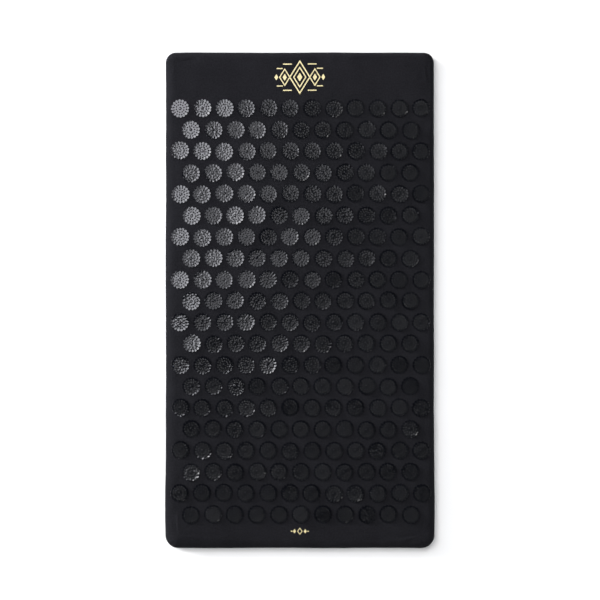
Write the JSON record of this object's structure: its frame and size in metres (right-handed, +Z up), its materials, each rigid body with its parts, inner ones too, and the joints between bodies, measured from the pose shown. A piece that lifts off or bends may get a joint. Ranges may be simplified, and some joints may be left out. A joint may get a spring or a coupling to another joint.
{
  "type": "acupressure mat",
  "caption": "Slim foam mat in a black cotton cover with a field of spiked moulded discs on top and a hook-and-loop flap across the back for taking out the foam.",
  "frame": {"origin": "on the floor, under the middle of the mat", "axes": "+X across the mat to the right of the picture, +Y along it towards the head end, +Z up out of the spikes"},
  "size_m": [0.4, 0.74, 0.0265],
  "materials": {
    "cover_cotton": "matte",
    "disc_plastic": "satin",
    "back_cotton": "matte",
    "core_foam": "matte",
    "hook_tape": "matte",
    "loop_tape": "matte",
    "stitching": "matte",
    "gold_print": "satin"
  },
  "bodies": {
    "mat": {"top_cover": "cover_cotton", "foam_core": "core_foam", "back_panel": "back_cotton", "back_foot_panel": "back_cotton", "loop_tape": "loop_tape"},
    "flap": {"closure_flap": "back_cotton", "hook_tape": "hook_tape"}
  },
  "joints": [
    {"name": "flap_fold", "type": "hinge", "parent": "mat", "child": "flap", "pos_m": [0, -0.24, 0], "axis": [1, 0, 0], "range_deg": [0, 170]}
  ]
}
